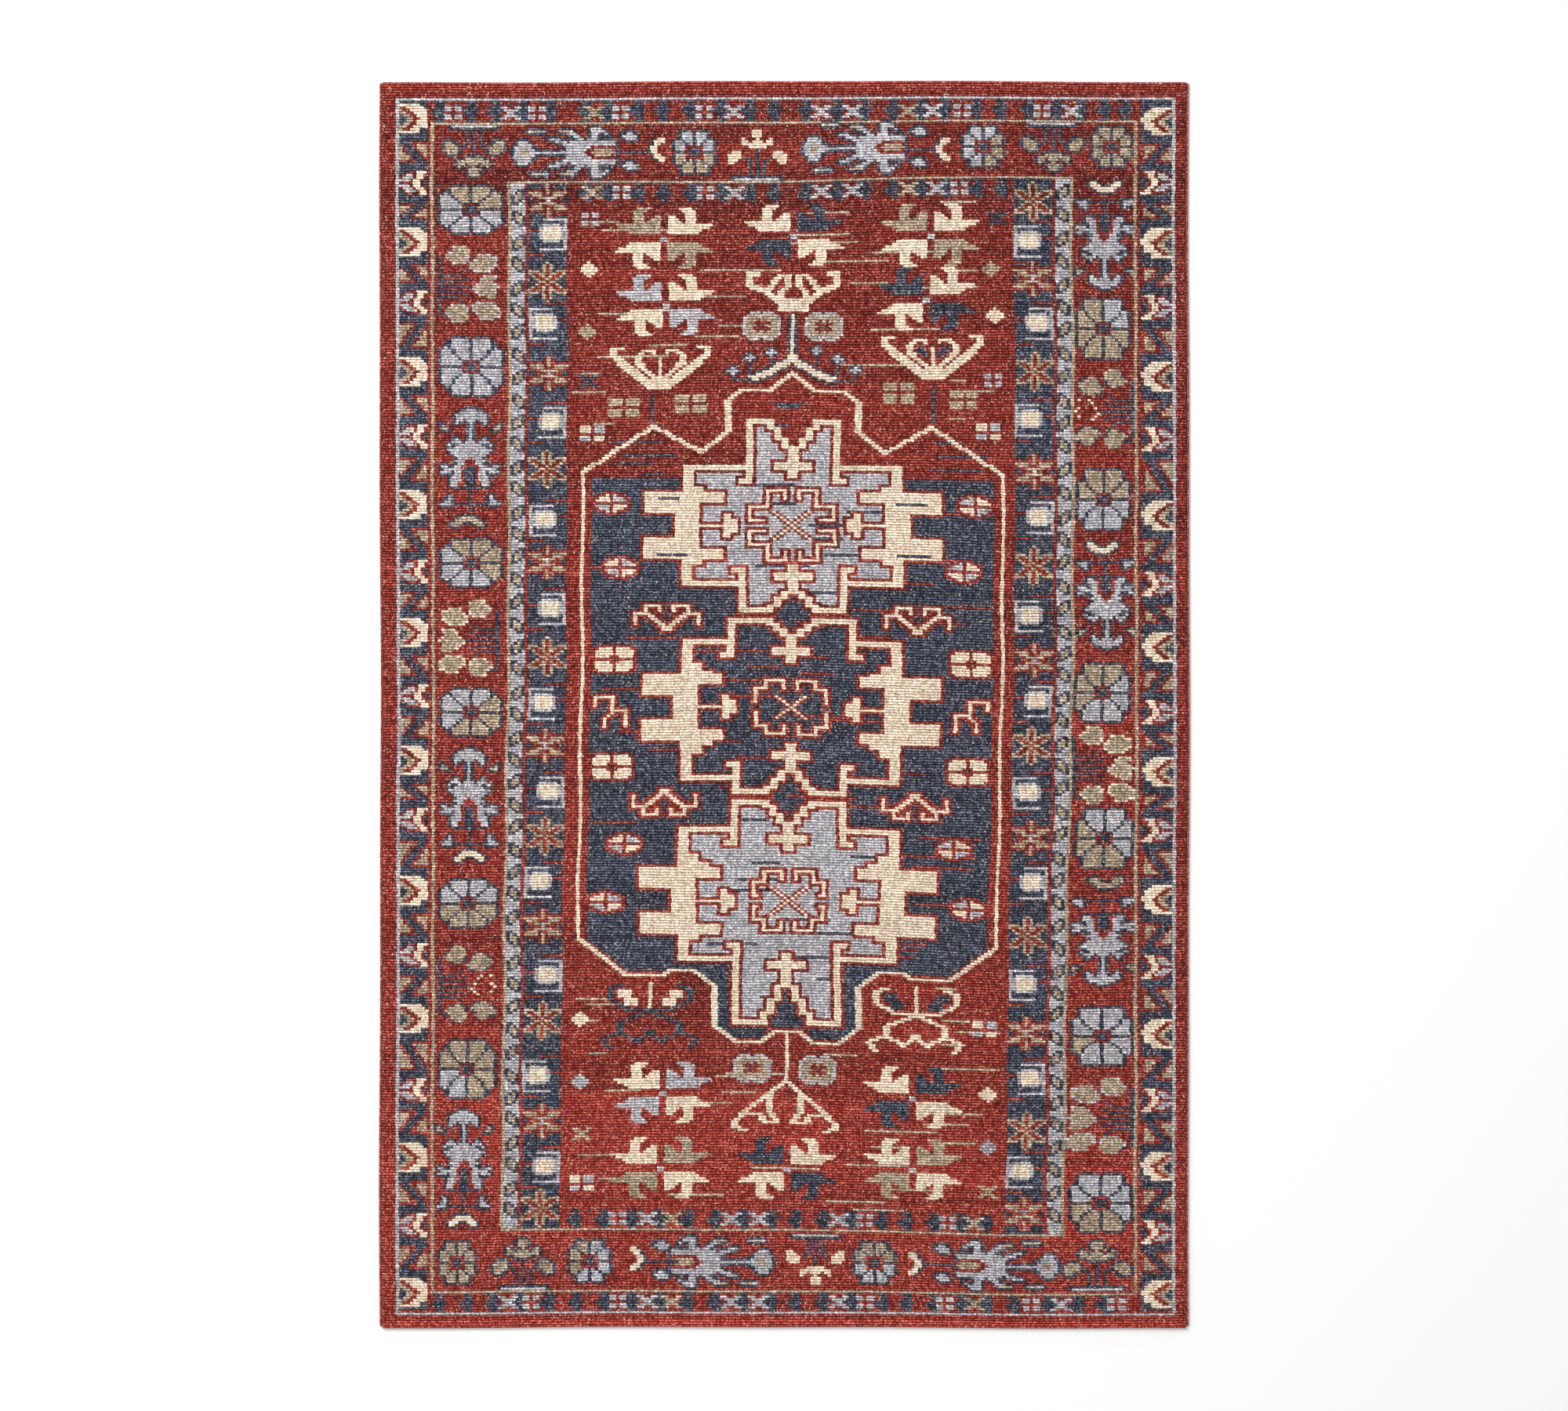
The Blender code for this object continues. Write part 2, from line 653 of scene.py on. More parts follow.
def borders(chart):
    """Everything round the field, from the outer edge inwards."""
    outline(chart, BLUE, 4, 6, 228, 460)
    side_band(chart, 5, (8, 54, 103, 152, 200, 248, 296, 344, 396, 446),
              (33, 78, 128, 178, 225, 271, 321, 372, 422), False)
    side_band(chart, 218, (10, 55, 104, 156, 206, 252, 300, 350, 399, 447),
              (33, 79, 129, 183, 231, 275, 326, 375, 425), True)
    fill(chart, RED, (13, 7, 14, 459), (217, 7, 218, 459))
    upper = (57, 63, 72, 79, 87, 96, 104, 111, 120, 129, 137, 145, 153, 160, 169, 176)
    lower = (54, 62, 70, 78, 86, 94, 102, 110, 117, 125, 133, 142, 149, 157, 165, 172)
    end_band(chart, 7, 8, (15, 24, 31, 39, 47) + upper + (184, 192, 199, 206, 212),
             (18, 42, 66, 90, 164, 187), (34, 98, 123, 132, 155, 195), (58, 148))
    end_band(chart, 452, 7, (15, 23, 30, 38, 46) + lower + (180, 190, 198, 206),
             (40, 65, 136, 159, 184, 208), (33, 73, 97, 105, 128, 192), (80, 167))
    outline(chart, TAUPE, 36, FIELD_TOP - 1, 198, FIELD_END + 1)
    side_stretches(chart)
    outline(chart, TAUPE, 14, 15, 217, 452)
    end_stretches(chart)
    chain_guard(chart, 37)
    chain_guard(chart, 193)
    fill(chart, RED, (41, FIELD_TOP, 193, FIELD_END))
    inner_side_band(chart, 42, (51, 121, 191, 259, 328, 399), (84, 158, 226, 293, 365),
                    (38, 102, 173, 241, 309, 381), (67, 137, 207, 274, 343, 413))
    inner_side_band(chart, 181, (84, 156, 226, 293, 366), (53, 121, 193, 260, 331, 401),
                    (67, 139, 210, 276, 349, 416), (37, 101, 173, 241, 311, 384))
    end_band(chart, FIELD_TOP, 7, upper, (66, 90, 163), (98, 123, 132, 156), (57, 148))
    end_band(chart, FIELD_END - 7, 7, lower, (65, 136, 160), (73, 97, 105, 128), (80, 167))


def birds(chart, col, row, letters):
    """Four birds about a point, two upright over two upside down. letters runs row by row."""
    width, height = len(BIRD[0]), len(BIRD)
    col, row = seen_at(col, row)
    for place, letter in enumerate(letters):
        right, lower = place % 2 == 1, place > 1
        start_col = col + 2 if right else col - width
        start_row = row + 1 if lower else row - 2 - height
        stamp(chart, BIRD, start_col, start_row, with_petals(letter), mirror=right, flip=lower)
    fill(chart, BLUE, (col, row - 1, col + 2, row + 1))


def streaks(chart, rng, yarn, ground, rows, cols, pitch, longest):
    """Thin dashes of another yarn on one ground: one every pitch rows or so, of uneven place and length."""
    for row in range(*rows, pitch):
        at_row, start = row + rng.integers(0, pitch), rng.integers(*cols)
        knots = chart[at_row, start:start + rng.integers(longest // 3, longest)]
        knots[knots == ground] = yarn


def field_streaks(chart, rng):
    """The dull dashes on the red ground above, below and beside the medallion's frame."""
    for rows in ((44, 106), (362, 420)):
        streaks(chart, rng, TAUPE, RED, rows, (53, 165), 3, 24)
    for rows in ((108, 128), (336, 358)):
        for cols in ((53, 62), (160, 168)):
            streaks(chart, rng, TAUPE, RED, rows, cols, 7, 14)


def field_ends(chart):
    """The red ground above and below the medallion, with birds, rosettes and hooked plants."""
    for col, row, letters in ((80, 59, "tcct"), (80, 84, "bccb"), (117, 58, "cnnc"), (156, 58, "tcct"),
                              (156, 82, "nccn"), (79, 378, "cbbc"), (79, 406, "cttc"), (115, 406, "nccn"),
                              (151, 379, "cnnc"), (151, 406, "cttc")):
        birds(chart, col, row, letters)
    only_cream = {"c": CREAM}
    stamp(chart, unfold(FIELD_CALYX), 65, 99, only_cream)
    stamp(chart, unfold(FIELD_CALYX), 143, 95)
    calyx_above(chart)
    for col, row in ((103, 86), (121, 86), (100, 363), (120, 363)):
        stamp(chart, unfold_down(unfold(DOUBLE_ROSETTE)), *seen_at(col, row))
    forked_stem_above(chart)
    forked_stem_below(chart)
    hooked_plant(chart, 78, NAVY, CREAM)
    hooked_plant(chart, 154, CREAM, NAVY)
    for col, row, width, height in ((65, 118, 9, 7), (84, 117, 9, 7), (143, 112, 9, 8), (162, 115, 8, 7)):
        fill(chart, TAUPE, (col, row, col + width, row + height))
        fill(chart, RED, (col + 4, row, col + 5, row + height), (col, row + 3, col + width, row + 4))
    fill(chart, NAVY, (77, 117, 78, 127), (157, 113, 158, 127))
    for col, row, letter in ((57, 67, "c"), (55, 347, "c"), (171, 375, "c"), (174, 85, "c"),
                             (56, 90, "t"), (54, 370, "b"), (171, 395, "b"), (173, 67, "t")):
        stamp(chart, SMALL_DIAMOND, *seen_at(col, row), with_petals(letter))
    for col, row, letter in ((56, 109, "n"), (54, 390, "t"), (171, 412, "t"), (173, 48, "n")):
        stamp(chart, SMALL_CROSS, *seen_at(col, row), with_petals(letter))
    for col, row in ((57, 49), (173, 109)):
        stamp(chart, FOUR_DOTS, *seen_at(col, row))
    for col, row in ((57, 128), (171, 128), (54, 408), (170, 350)):
        col, row = seen_at(col, row)
        fill(chart, CREAM, (col, row, col + 3, row + 3), (col + 4, row + 4, col + 7, row + 6))
        fill(chart, BLUE, (col + 4, row, col + 7, row + 3), (col, row + 4, col + 3, row + 6))


def forked_stem_above(chart):
    """The stem with two arms and six buds above the medallion."""
    fill(chart, NAVY, (116, 87, 119, 102))
    pair(chart, AXIS, NAVY, [(117, 101), (110, 107), (105, 109)], 2, 4)
    pair(chart, AXIS, CREAM, [(117, 102), (110, 108), (105, 110)], 2, 2)
    pair(chart, AXIS, NAVY, [(105, 111), (100, 111)])
    fill(chart, CREAM, (117, 87, 118, 102))
    bud = unfold_down(unfold(BUD))
    for col, row, foot in ((109, 99, 107), (103, 101, 109), (98, 106, 111),
                           (122, 98, 106), (128, 101, 109), (133, 105, 111)):
        stamp(chart, bud, col, row)
        fill(chart, NAVY, (col + 2, row + len(bud), col + 3, foot))


def calyx_above(chart):
    """The open cream calyx at the head of the stem above the medallion."""
    pair(chart, AXIS, CREAM, [(106, 71), (104, 71), (104, 75), (109, 78), (113, 82)], 2, 2)
    pair(chart, AXIS, CREAM, [(110, 77), (111, 74), (113, 72), (115, 72),
                              (115, 76), (113, 78), (113, 80), (116, 82)], 2, 1)
    fill(chart, CREAM, (113, 81, 122, 86))


def forked_stem_below(chart):
    """The plain forked stem with hooked feet below the medallion."""
    fill(chart, CREAM, (117, 354, 118, 374))
    pair(chart, AXIS, CREAM, [(116, 373), (106, 383), (102, 388), (102, 390), (105, 391)], 2, 1)
    pair(chart, AXIS, CREAM, [(112, 378), (112, 383), (114, 388), (111, 388), (109, 385), (105, 385)], 2, 1)


def hooked_plant(chart, axis, branch, leaf):
    """A plant below the medallion: a short stem, two leaves, two loops and two hooks at its foot."""
    fill(chart, leaf, (axis - 7, 342, axis - 3, 345), (axis - 9, 339, axis - 5, 342),
         (axis + 4, 342, axis + 8, 345), (axis + 6, 339, axis + 10, 342))
    fill(chart, CREAM, (axis, 336, axis + 1, 346), (axis - 2, 346, axis + 3, 348))
    for points in ([(axis, 346), (axis - 9, 351), (axis - 9, 354), (axis - 4, 358), (axis, 354)],
                   [(axis - 3, 346), (axis - 7, 346), (axis - 12, 342), (axis - 12, 338), (axis - 9, 337)],
                   [(axis - 9, 354), (axis - 14, 357), (axis - 12, 360)]):
        pair(chart, axis, branch, points, 2, 1)


def quarter_star(chart, ground, middle, up, reach, shoulder, point, foot):
    """The upper left quarter of a star, or the lower left one where up is -1.

    Sizes count from the star's middle row and from the axis: how far its point reaches, the height of its
    shoulder, how far aside the point stands, and the foot of the stairs between the two points.
    """
    part = np.full((reach + 1, STAR_ARM + 1), BARE)
    inner = 2 * STAIRS
    fill(part, ground, (inner, 0, STAR_BODY, shoulder), (inner, 0, point, reach))
    for step in range(STAIRS):
        low, high = (foot + round((reach - foot) * at / STAIRS) for at in (step, step + 1))
        fill(part, ground, (2 * step, 0, 2 * step + 2, low))
        fill(part, CREAM, (2 * step, low, 2 * step + 2, high + 1))
    fill(part, CREAM, (inner, reach - 1, point + 2, reach + 1), (point, shoulder - 6, point + 2, reach + 1),
         (point, shoulder - 6, point + 4, shoulder - 4), (point, shoulder - 1, STAR_BODY + 1, shoulder + 1),
         (STAR_BODY - 2, 5, STAR_BODY + 1, shoulder), (0, foot - 8, 2, foot), (0, foot - 5, 6, foot - 2))
    for step in range(3):
        top = 12 + (shoulder - 17) * (2 - step) // 3
        fill(part, CREAM, (STAR_BODY - 5 - 3 * step, 9, STAR_BODY, top))
    fill(part, CREAM, (20, 9, STAR_ARM + 1, 13), (STAR_BODY, 5, STAR_ARM + 1, 13), (27, 0, 34, 9),
         (17, 0, 27, 1), (16, 0, 20, 3), (18, 0, 20, 5))
    lay_over(chart, part[::-up, ::-1], AXIS - STAR_ARM, min(middle, middle - up * reach))


def stars(chart):
    """The three stars, left half, each with a hooked square in its middle.

    A star has its ground, its middle row, the sizes of its upper and lower quarters and those of its square.
    """
    for ground, middle, above, below, square in (
            (BLUE, 165, (39, 22, 12, 26), (32, 22, 14, 23), (12, 13, 4)),
            (NAVY, 233, (33, 25, 17, 25), (32, 27, 15, 22), (10, 10, 0)),
            (BLUE, 305, (37, 27, 15, 27), (46, 22, 14, 28), (10, 11, 1))):
        quarter_star(chart, ground, middle, 1, *above)
        quarter_star(chart, ground, middle, -1, *below)
        hooked_square(chart, middle, *square)


def hooked_square(chart, row, side, high, hook):
    """The square with hooked ends round the middle of a star, left half."""
    corners = ((2, high - 3), (2, high), (7, high), (7, 7), (side, 7), (side, 2), (side - hook, 2))
    for up in (-1, 1):
        thread(chart, CREAM, [(AXIS - aside, row + up * rise) for aside, rise in corners])


def diagonal_cross(chart, row, reach):
    """The beaded cross in the middle of a star, cream between two red knots, left half."""
    for turn in range(-reach, reach + 1):
        col = AXIS - abs(turn)
        fill(chart, RED, (col - 1, row + turn, col + 2, row + turn + 1))
        chart[row + turn, col] = CREAM


def edge_with_red(chart, first, last):
    """Puts one red knot round every cream shape of the medallion, and where light blue meets navy."""
    part = chart[first:last, 59:AXIS + 2]
    light = part == CREAM
    blue = part == BLUE
    near_cream = np.zeros_like(light)
    near_blue = np.zeros_like(light)
    for down in (-1, 0, 1):
        for across in (-1, 0, 1):
            near_cream |= np.roll(light, (down, across), (0, 1))
            near_blue |= np.roll(blue, (down, across), (0, 1))
    part[near_cream & ~light] = RED
    part[near_blue & (part == NAVY)] = RED


def frame_line(chart):
    """The cream line round the medallion, left half."""
    upper = [(57, 145), (77, 128), (90, 138), (98, 130), (98, 119), (102, 115), (110, 115), (117, 108)]
    lower = [(57, 320), (70, 333), (81, 333), (83, 331), (90, 331), (96, 337), (96, 352), (102, 358),
             (109, 358), (113, 354), (117, 354)]
    thread(chart, CREAM, upper, 2, 1)
    thread(chart, CREAM, [upper[0], lower[0]])
    thread(chart, CREAM, lower, 2, 1)


def navy_ground(chart):
    """The navy ground of the medallion, left half, down to the cream line below."""
    fill(chart, NAVY, (60, 148, AXIS + 1, 320), (71, 320, AXIS + 1, 332), (97, 332, AXIS + 1, 353),
         (102, 353, 111, 357))
    for col, row, steps in ((60, 320, 12), (91, 331, 7)):
        for step in range(steps):
            fill(chart, NAVY, (col + step, row + step, AXIS, row + step + 1))
    for step in range(5):
        fill(chart, NAVY, (98 + step, 352 + step, 113 - step, 353 + step))


def ram_horns(chart):
    """The two curled horns at the side of the middle star, left half: one opens up and one down."""
    middle = 81
    for row, down in ((204, -1), (264, 1)):
        pair(chart, middle, CREAM, [(middle, row), (middle - 6, row + 6 * down)], 2, 1)
        pair(chart, middle, CREAM, [(middle - 2, row + 7 * down), (middle - 2, row + 9 * down),
                                    (middle - 6, row + 9 * down), (middle - 6, row + 6 * down),
                                    (middle - 9, row + 6 * down), (middle - 9, row + 2 * down)])


def fillers(chart):
    """The small motifs strewn over the navy ground, left half."""
    swapped = str.maketrans("bc", "cb")
    diamond = [line + line[-2::-1].translate(swapped) for line in QUARTERED_DIAMOND]
    for col, row in ((60, 153), (63, 177), (65, 280), (60, 302)):
        stamp(chart, diamond, col, row)
    ram_horns(chart)
    for row in (211, 251):
        stamp(chart, unfold_down(unfold(SQUARE_ROSETTE)), 61, row)
    thread(chart, CREAM, [(61, 232), (61, 229), (66, 229), (66, 234), (70, 234), (70, 240)])
    thread(chart, CREAM, [(66, 235), (64, 237), (64, 240)])


def medallion_streaks(chart, rng):
    """The red dashes on the navy ground, and the navy ones on the stars and on the red above them."""
    streaks(chart, rng, RED, NAVY, (150, 330), (60, 160), 3, 26)
    for rows in ((144, 190), (274, 344)):
        streaks(chart, rng, NAVY, BLUE, rows, (90, 138), 5, 16)
    for first in (155, 173):
        for cols in ((76, 80), (147, 151)):
            streaks(chart, rng, NAVY, CREAM, (first, first + 3), cols, 4, 14)
    for rows, cols in (((117, 126), (102, 126)), ((134, 147), (66, 80)), ((134, 147), (146, 160))):
        streaks(chart, rng, NAVY, RED, rows, cols, 4, 16)


def medallion(chart):
    """The framed medallion: its left half is worked first, then turned over onto the right."""
    left, top, end_row = 55, 106, 360
    navy_ground(chart)
    stars(chart)
    fillers(chart)
    edge_with_red(chart, 120, 353)
    for row, reach in ((165, 5), (233, 4), (305, 5)):
        diagonal_cross(chart, row, reach)
    frame_line(chart)
    half = chart[top:end_row, left:AXIS].copy()
    chart[top:end_row, AXIS + 1:AXIS + 1 + half.shape[1]] = half[:, ::-1]


def draw_chart():
    """The yarn of every knot, by row from the far end and by column from the left."""
    rng = np.random.default_rng(SEED + 2)
    chart = np.full((ROWS, COLS), RED)
    borders(chart)
    medallion(chart)
    medallion_streaks(chart, rng)
    field_ends(chart)
    field_streaks(chart, rng)
    return chart


# The lie of the weaving, in metres: its layers above the floor, and the depths of its tufts and its rim
BACK_FOOT = 0.0
BACK_RIDGE = 0.0003
BACK_TOP = 0.0010
GROUND_FOOT = 0.0012
GROUND_TOP = 0.0022
TUFT_GAP = 0.0013
RIM_DROP = 0.0018
STRIPS = 5
BACK_STRIPS = 2

# The room in which the corners and the middle of a tuft stray, in knots across and along
CORNER_STRAY = (0.42, 0.25)
MIDDLE_STRAY = (0.4, 0.3)

# Their depths in shares of TUFT_GAP: a corner's least depth and what chance adds, and a middle's greatest
CORNER_DEPTH = (0.55, 0.6)
MIDDLE_DEPTH = 0.25

# Painted shade on the cut edges of the pile and the back: how dark they are, against the rug's mean colour
PILE_EDGE_PAINTED_SHADE = 0.5
BACK_EDGE_PAINTED_SHADE = 0.6

# The wool wrapped round the cords: lengths in metres, the sides of a section, and shares of the thickness
WRAP_PITCH = 0.0030
WRAP_SLANT = 0.0011
CORD_TIP = 0.006
CORD_SIDES = 8
GROOVE_SHARE = 0.86
TIP_SHARE = 0.62

# Colours as they look in even light, sRGB out of 255
YARN_COLOURS = {
    RED: (141, 55, 45),
    NAVY: (73, 77, 91),
    BLUE: (181, 178, 182),
    CREAM: (231, 212, 190),
    TAUPE: (174, 156, 134),
}
CORD_COLOUR = (176, 88, 76)
GROUND_COLOUR = (170, 150, 130)
WEFT_COLOUR = (196, 180, 160)
STRAY_FIBRE_COLOUR = (232, 208, 186)

# How far a dye strays: between bands of so many rows at most, between wraps or knots, and in hue
DYE_BANDS = {RED: 0.10, NAVY: 0.06, BLUE: 0.03, CREAM: 0.02, TAUPE: 0.04}
TALLEST_BAND = 11
WRAP_SHADE = 0.10
KNOT_SHADE = 0.05
HUE_STRAY = 0.02
SHADE_LIMITS = (0.74, 1.26)
COLOUR_LIMITS = (0.004, 0.95)

# Streaks and patches of other dye batches: how many, the rows and columns they stay below, and their depth
PATCHES = ((280, 4, 70, 1.6), (60, 24, 150, 0.9))

# The red dye darkens and lightens slowly from the far end to the near one
RED_TONE_ROWS = (0, 4, 40, 100, 300, 440, 464)
RED_TONE = (1.3, 0.9, 0.85, 1.0, 1.05, 1.35, 1.5)

# The room: places and lengths in metres, turns in degrees, the lamp's power in watts
LAMP_PLACE = (-3.0, 2.6, 4.6)
LAMP_TURN = (-29, -33, 0)
LAMP_SIZE = 3.0
LAMP_POWER = 260
SURROUND_STRENGTH = 0.75
FLOOR_REACH = 12.0
FLOOR_LEVEL = -0.0003
FLOOR_COLOUR = (0.92, 0.92, 0.92)
CAMERA_PLACE = (-0.0007, -0.0015, 8.0)
FRAME_WIDTH = 3.0
SENSOR_WIDTH = 36.0


def to_linear(colour):
    """Linear RGB of an sRGB colour out of 255."""
    share = np.asarray(colour, dtype=float) / 255
    return np.where(share <= 0.04045, share / 12.92, ((share + 0.055) / 1.055) ** 2.4)


def side_wander(y, side):
    """How far a long side strays outwards at y."""
    along = y / RUG_LENGTH
    slow = np.sin(2 * math.pi * (1.3 * along + 0.21 * side))
    quick = 0.5 * np.sin(2 * math.pi * (3.7 * along + 0.35 * side))
    return SIDE_WANDER * (slow + quick - 1.0)


def end_wander(x, end):
    """How far an end strays outwards at x."""
    across = x / RUG_WIDTH
    slow = np.sin(2 * math.pi * (0.9 * across + 0.17 * end))
    quick = 0.4 * np.sin(2 * math.pi * (2.9 * across - 0.4 * end))
    return END_WANDER * (slow + quick - 0.9)


def pile_wander(x, y):
    """How far the pile's level strays from flat."""
    wide = np.sin(7.1 * x + 1.3) * np.cos(5.3 * y - 0.7)
    fine = 0.5 * np.sin(13.0 * y + 4.0 * x)
    return PILE_WANDER * (wide + fine)


def on_rug(col, row):
    """Carries places on the chart to x and y on the rug, with the drift of the weaving.

    Slow waves of a quarter or a third of a knot come on top, and leave the four edges in place.
    """
    aside, down = drift(col, row)
    off_sides = np.clip(8 * np.minimum(col / COLS, 1 - col / COLS), 0, 1)
    off_ends = np.clip(8 * np.minimum(row / ROWS, 1 - row / ROWS), 0, 1)
    waver = 0.25 * np.sin(0.11 * row + 0.05 * col) * off_sides * off_ends
    beat = 0.35 * np.sin(0.07 * col + 0.9) * np.sin(0.045 * row) * off_ends
    drifted_col = col + aside + waver
    drifted_row = row + down + beat
    x = (drifted_col / COLS - 0.5) * 2 * HALF_SHEET
    y = (0.5 - drifted_row / ROWS) * RUG_LENGTH
    share_x, share_y = x / HALF_SHEET, y / (RUG_LENGTH / 2)
    out_x = np.where(x > 0, side_wander(y, 1), side_wander(y, -1)) * share_x
    out_y = np.where(y > 0, end_wander(x, 1), end_wander(x, -1)) * share_y
    return x + out_x, y + out_y


def abrash(rng, amount):
    """Bands of lighter and darker dye, one value for each row."""
    shades = np.zeros(ROWS)
    row = 0
    while row < ROWS:
        height = int(rng.integers(1, TALLEST_BAND + 1))
        shades[row:row + height] = rng.normal(0, amount)
        row += height
    return 1 + shades


def knot_colours(chart):
    """The colour of every knot, linear RGB: its yarn, the dye bands and streaks of other batches."""
    rng = np.random.default_rng(SEED)
    colours = np.zeros((ROWS, COLS, 3))
    for yarn, amount in DYE_BANDS.items():
        own = chart == yarn
        shade = np.repeat(abrash(rng, amount)[:, None], COLS, axis=1)
        for count, tallest, longest, depth in PATCHES:
            for _ in range(count):
                row, col = rng.integers(0, ROWS), rng.integers(0, COLS)
                height, length = rng.integers(1, tallest), rng.integers(longest // 6, longest)
                shade[row:row + height, col:col + length] *= 1 + rng.normal(0, depth * amount)
        shade = np.clip(shade, *SHADE_LIMITS)
        if yarn == RED:
            shade *= np.interp(np.arange(ROWS), RED_TONE_ROWS, RED_TONE)[:, None]
        colours[own] = (to_linear(YARN_COLOURS[yarn]) * shade[..., None])[own]
    mottle = rng.normal(1.0, KNOT_SHADE, (ROWS, COLS, 1)) * rng.normal(1.0, HUE_STRAY, (ROWS, COLS, 3))
    return np.clip(colours * mottle, *COLOUR_LIMITS)


def corner_field(rng):
    """Random numbers for every corner between knots, the same for each strip that shares it."""
    return rng.random((ROWS + 1, COLS + 1)), rng.random((ROWS, COLS))


def table_of(*columns):
    """Arrays of one shape as the columns of one table, such as the x, y and z of points."""
    return np.stack([column.ravel() for column in columns], axis=1)


def cell_corners(grid):
    """The point numbers at the four corners of every cell of a grid, anticlockwise seen from above."""
    return grid[:-1, :-1], grid[1:, :-1], grid[1:, 1:], grid[:-1, 1:]


def faces_of(*corners):
    """Faces from their point numbers, given as one array for each corner."""
    return np.stack(corners, axis=-1).reshape(-1, len(corners))


def add_mesh(name, points, faces, material, smooth=True):
    """Makes an object of points and faces, given as arrays, one array for each kind of face."""
    mesh = bpy.data.meshes.new(name)
    mesh.vertices.add(len(points))
    mesh.vertices.foreach_set("co", np.ascontiguousarray(points, dtype=np.float32).ravel())
    sizes = np.concatenate([np.full(len(group), group.shape[1]) for group in faces])
    corners = np.concatenate([group.ravel() for group in faces])
    starts = np.concatenate([[0], np.cumsum(sizes)[:-1]])
    mesh.loops.add(len(corners))
    mesh.loops.foreach_set("vertex_index", corners.astype(np.int32))
    mesh.polygons.add(len(sizes))
    mesh.polygons.foreach_set("loop_start", starts.astype(np.int32))
    mesh.polygons.foreach_set("use_smooth", np.full(len(sizes), smooth))
    mesh.update(calc_edges=True)
    mesh.materials.append(material)
    made = bpy.data.objects.new(name, mesh)
    bpy.context.collection.objects.link(made)
    return made


def paint_faces(made, colours):
    """Gives each face its yarn colour."""
    layer = made.data.attributes.new("yarn", "FLOAT_COLOR", "FACE")
    values = np.ones((len(made.data.polygons), 4), dtype=np.float32)
    values[:, :3] = colours
    layer.data.foreach_set("color", values.ravel())


def mark_weave(made, places):
    """Gives each point its place in the weave, counted in knots."""
    layer = made.data.attributes.new("weave", "FLOAT_VECTOR", "POINT")
    flat = np.column_stack([places, np.zeros(len(places))])
    layer.data.foreach_set("vector", flat.astype(np.float32).ravel())


def boundary(rows, cols):
    """The point numbers round a grid of rows by cols points, anticlockwise seen from above."""
    grid = np.arange(rows * cols).reshape(rows, cols)
    return np.concatenate([grid[:-1, 0], grid[-1, :-1], grid[:0:-1, -1], grid[0, :0:-1]])


def bake_map(made, places, first_col, width):
    """Unwraps a long strip into three lengths laid side by side, so that its map is nearly square."""
    lengths = 3
    inset, share_across, share_along = 0.01, 0.97, 0.98
    layer = made.data.uv_layers.new(name="OFBake")
    corners = np.empty(len(made.data.loops), dtype=np.int32)
    made.data.loops.foreach_get("vertex_index", corners)
    sizes = np.empty(len(made.data.polygons), dtype=np.int32)
    made.data.polygons.foreach_get("loop_total", sizes)
    of_corner = np.repeat(np.arange(len(sizes)), sizes)
    rows = places[corners, 1]
    middle = np.bincount(of_corner, weights=rows) / sizes
    part = np.clip(np.floor(middle / ROWS * lengths), 0, lengths - 1)[of_corner]
    u = (part + inset + share_across * (places[corners, 0] - first_col) / width) / lengths
    v = inset + share_along * (rows / ROWS * lengths - part)
    layer.data.foreach_set("uv", table_of(u, 1 - v).astype(np.float32).ravel())


def dress_strip(made, knots, edge, places, first_col, width):
    """Colours a strip's knots each in its own yarn and its walls all in edge, a darker colour that is painted
    shade, and gives its points their places.
    """
    walls = np.tile(edge, (len(made.data.polygons) - len(knots), 1))
    paint_faces(made, np.concatenate([knots, walls]))
    bake_map(made, places, first_col, width)
    mark_weave(made, places)


